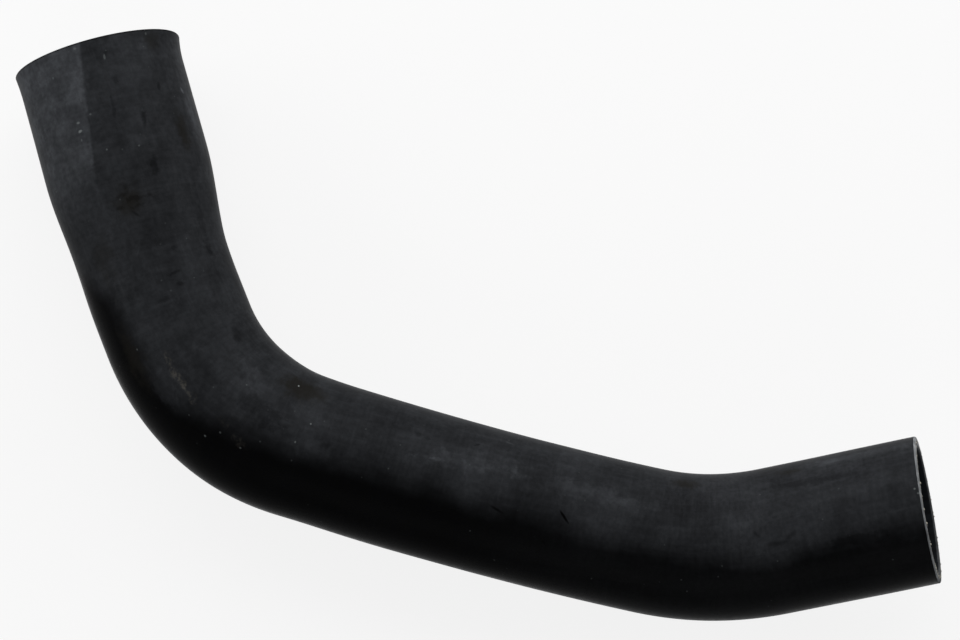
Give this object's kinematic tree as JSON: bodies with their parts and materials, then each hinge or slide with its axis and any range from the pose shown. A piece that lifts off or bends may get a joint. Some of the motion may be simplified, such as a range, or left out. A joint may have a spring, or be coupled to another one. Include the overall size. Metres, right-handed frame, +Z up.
{
  "type": "turbo hose",
  "caption": "Moulded black rubber air hose with a wide cuff, a reducing neck, two bends and a climbing end leg.",
  "frame": {"origin": "on the ground below the middle of the hose, with the hose lying at rest", "axes": "+X along the longest extent towards the outlet, +Y towards the wide cuff, +Z up from the ground"},
  "size_m": [0.4304, 0.2748, 0.0904],
  "materials": {
    "moulded_rubber": "satin black, with fabric under the skin"
  },
  "bodies": {
    "root": {"hose": "moulded_rubber"}
  },
  "joints": []
}
